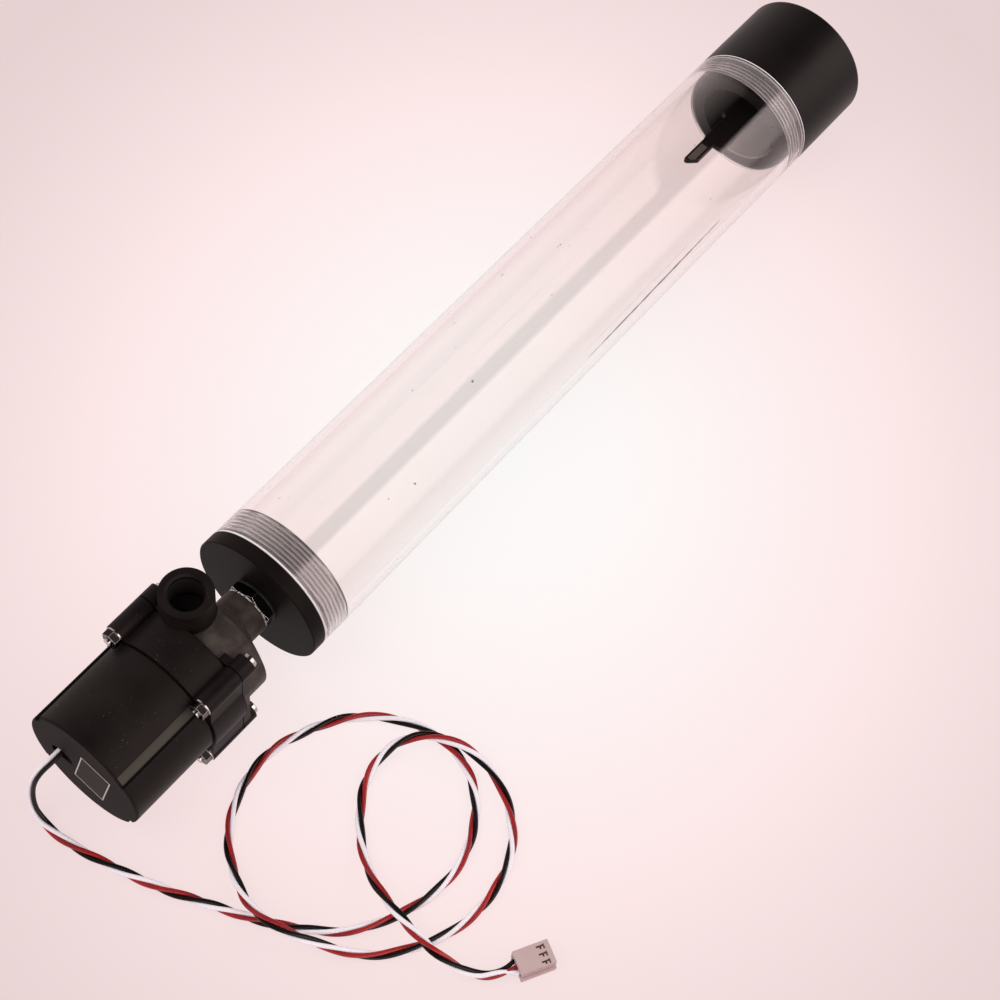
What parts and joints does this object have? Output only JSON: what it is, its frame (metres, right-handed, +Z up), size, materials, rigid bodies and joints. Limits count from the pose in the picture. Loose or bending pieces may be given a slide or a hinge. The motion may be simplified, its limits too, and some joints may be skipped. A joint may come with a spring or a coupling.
{
  "type": "coolant pump reservoir",
  "caption": "Clear tube reservoir for a liquid cooling loop, with screwed end caps, a flow baffle and a canned-rotor pump joined to its bottom cap, on a wired lead with a connector.",
  "frame": {"origin": "under the middle of the reservoir and pump, on the surface that they lie on", "axes": "+X along the tube's axis from the pump to the top cap, +Z up through the outlet"},
  "size_m": [0.403, 0.1723, 0.056],
  "materials": {
    "clear_acrylic": "clear cast tube, polished",
    "black_acetal": "turned acetal, satin",
    "black_nylon": "moulded glass-filled nylon, fine matt",
    "seal_rubber": "matt",
    "clear_seal": "clear silicone",
    "black_nickel": "dark bright plating",
    "steel_bright": "zinc plated",
    "steel_shaft": "ground",
    "carbon_bush": "carbon graphite",
    "rotor_plastic": "moulded",
    "magnet": "sintered ferrite",
    "lamination": "stacked sheet",
    "bobbin_nylon": "moulded",
    "copper": "enamelled wire",
    "board_green": "solder mask",
    "part_black": "moulded packages",
    "wire_black": "insulated wires, red, black and white",
    "plate_silver": "bare label, silver edge line",
    "connector_beige": "moulded nylon",
    "terminal_tin": "tin plated"
  },
  "bodies": {
    "root": {"reservoir_tube": "clear_acrylic", "bottom_cap": "black_acetal", "bottom_cap_oring": "seal_rubber", "pump_coupler": "black_nickel", "coupler_cap_seal": "seal_rubber", "coupler_pump_seal": "clear_seal", "volute_cover": "black_nylon", "pump_body": "black_nylon", "head_seal": "seal_rubber", "isolation_can": "rotor_plastic", "motor_housing": "black_nylon", "rotor_shaft": "steel_shaft", "thrust_washers": "carbon_bush", "stator_core": "lamination", "stator_bobbins": "bobbin_nylon", "stator_coils": "copper", "driver_board": "board_green", "board_parts": "part_black", "lead_tails": "wire_black", "clamp_screws": "steel_bright", "clamp_washers": "steel_bright", "clamp_nuts": "steel_bright", "rating_plate": "plate_silver", "cable_grommet": "seal_rubber", "pump_lead": "wire_black", "connector_housing": "connector_beige", "connector_terminals": "terminal_tin"},
    "rotor": {"impeller": "rotor_plastic", "rotor_sleeve": "rotor_plastic", "rotor_magnet": "magnet", "rotor_bushes": "carbon_bush"},
    "cap_travel": {"top_cap_oring": "seal_rubber"},
    "cap": {"top_cap": "black_acetal", "flow_baffle": "black_acetal"},
    "plug_travel": {"fill_plug_oring": "seal_rubber"},
    "plug": {"fill_plug": "black_acetal"}
  },
  "joints": [
    {"name": "rotor_spin", "type": "hinge", "parent": "root", "child": "rotor", "pos_m": [-0.14007, 0, 0.025], "axis": [1, 0, 0], "continuous": true},
    {"name": "cap_unscrew_slide", "type": "slide", "parent": "root", "child": "cap_travel", "axis": [1, 0, 0], "range_m": [0, 0.009]},
    {"name": "cap_turn", "type": "hinge", "parent": "cap_travel", "child": "cap", "pos_m": [0.18593, 0, 0.025], "axis": [1, 0, 0], "range_deg": [0, 2160]},
    {"name": "plug_unscrew_slide", "type": "slide", "parent": "cap", "child": "plug_travel", "axis": [1, 0, 0], "range_m": [0, 0.00802]},
    {"name": "plug_turn", "type": "hinge", "parent": "plug_travel", "child": "plug", "pos_m": [0.18893, 0, 0.0338], "axis": [1, 0, 0], "range_deg": [0, 2160]}
  ],
  "couplings": [
    {"joint": "cap_unscrew_slide", "follows": "cap_turn", "m_per_rad": 0.00023873},
    {"joint": "plug_unscrew_slide", "follows": "plug_turn", "m_per_rad": 0.00021279}
  ]
}
